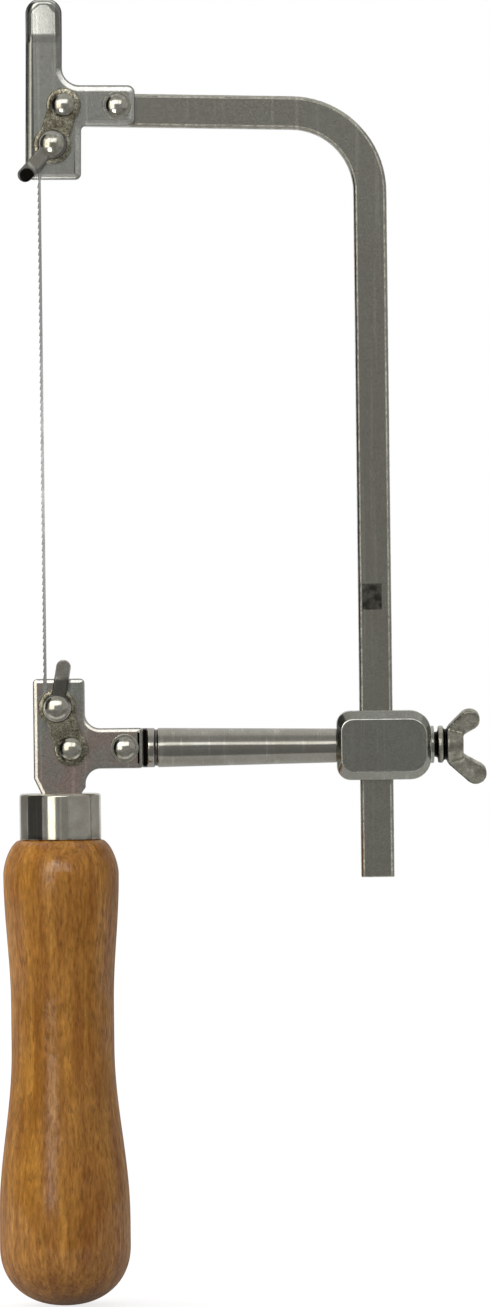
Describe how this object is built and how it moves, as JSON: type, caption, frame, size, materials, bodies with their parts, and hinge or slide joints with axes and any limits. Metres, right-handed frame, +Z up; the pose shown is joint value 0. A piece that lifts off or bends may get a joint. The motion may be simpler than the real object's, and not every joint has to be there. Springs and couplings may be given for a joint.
{
  "type": "fret saw",
  "caption": "Hand fret saw: a bent flat frame slides in a block on a round arm, lever clamps hold a plain blade, and a turned wooden handle carries it all.",
  "frame": {"origin": "middle of the turned wood's length, on the handle's centre line", "axes": "+Z runs up the handle's centre line, +X from the blade to the back bar, and the front, with the clamp heads, faces -Y"},
  "size_m": [0.1174, 0.0312, 0.3107],
  "materials": {
    "beech": "turned beech, clear varnish",
    "bright_nickel": "bright nickel plate",
    "satin_nickel": "nickel plate over stamped steel, lightly scratched",
    "polished_nickel": "polished nickel plate on turned heads",
    "dark_nickel": "worn plate over dark steel",
    "blade_steel": "tempered spring steel, ground",
    "brass": "plain turned brass"
  },
  "bodies": {
    "holder": {"handle": "beech", "ferrule": "bright_nickel", "lower_bracket": "satin_nickel", "lower_arm": "satin_nickel", "slider_block": "satin_nickel", "lower_guide_rivet": "polished_nickel", "lower_rivet": "polished_nickel", "lower_rivet_washer": "polished_nickel", "lower_clamp_nut": "satin_nickel"},
    "frame": {"frame_bar": "satin_nickel", "upper_bracket": "satin_nickel", "upper_guide_rivet": "polished_nickel", "upper_rivet": "polished_nickel", "upper_rivet_washer": "polished_nickel", "upper_clamp_nut": "satin_nickel", "blade": "blade_steel"},
    "lower_jaw": {"lower_jaw": "satin_nickel"},
    "lower_screw": {"lower_clamp_screw": "polished_nickel", "lower_clamp_lever": "dark_nickel"},
    "upper_jaw": {"upper_jaw": "satin_nickel"},
    "upper_screw": {"upper_clamp_screw": "polished_nickel", "upper_clamp_lever": "dark_nickel"},
    "pad": {"pressure_pad": "brass"},
    "wing_screw": {"wing_screw": "satin_nickel"}
  },
  "joints": [
    {"name": "frame_slide", "type": "slide", "parent": "holder", "child": "frame", "axis": [0, 0, 1], "range_m": [-0.02, 0.02]},
    {"name": "lower_jaw_slide", "type": "slide", "parent": "holder", "child": "lower_jaw", "axis": [0, -1, 0], "range_m": [0, 0.00024]},
    {"name": "lower_lever_turn", "type": "hinge", "parent": "lower_jaw", "child": "lower_screw", "pos_m": [-0.0004, 0, 0.0869], "axis": [0, -1, 0], "range_deg": [0, 120]},
    {"name": "upper_jaw_slide", "type": "slide", "parent": "frame", "child": "upper_jaw", "axis": [0, -1, 0], "range_m": [0, 0.00024]},
    {"name": "upper_lever_turn", "type": "hinge", "parent": "upper_jaw", "child": "upper_screw", "pos_m": [0.00003, 0, 0.22078], "axis": [0, -1, 0], "range_deg": [0, 120]},
    {"name": "pad_slide", "type": "slide", "parent": "holder", "child": "pad", "axis": [1, 0, 0], "range_m": [0, 0.001]},
    {"name": "wing_turn", "type": "hinge", "parent": "pad", "child": "wing_screw", "pos_m": [0.094, 0.0033, 0.07705], "axis": [1, 0, 0], "range_deg": [0, 359.9]}
  ],
  "couplings": [
    {"joint": "lower_jaw_slide", "follows": "lower_lever_turn", "m_per_rad": 0.00011141},
    {"joint": "upper_jaw_slide", "follows": "upper_lever_turn", "m_per_rad": 0.00011141},
    {"joint": "pad_slide", "follows": "wing_turn", "m_per_rad": 0.00015915}
  ]
}
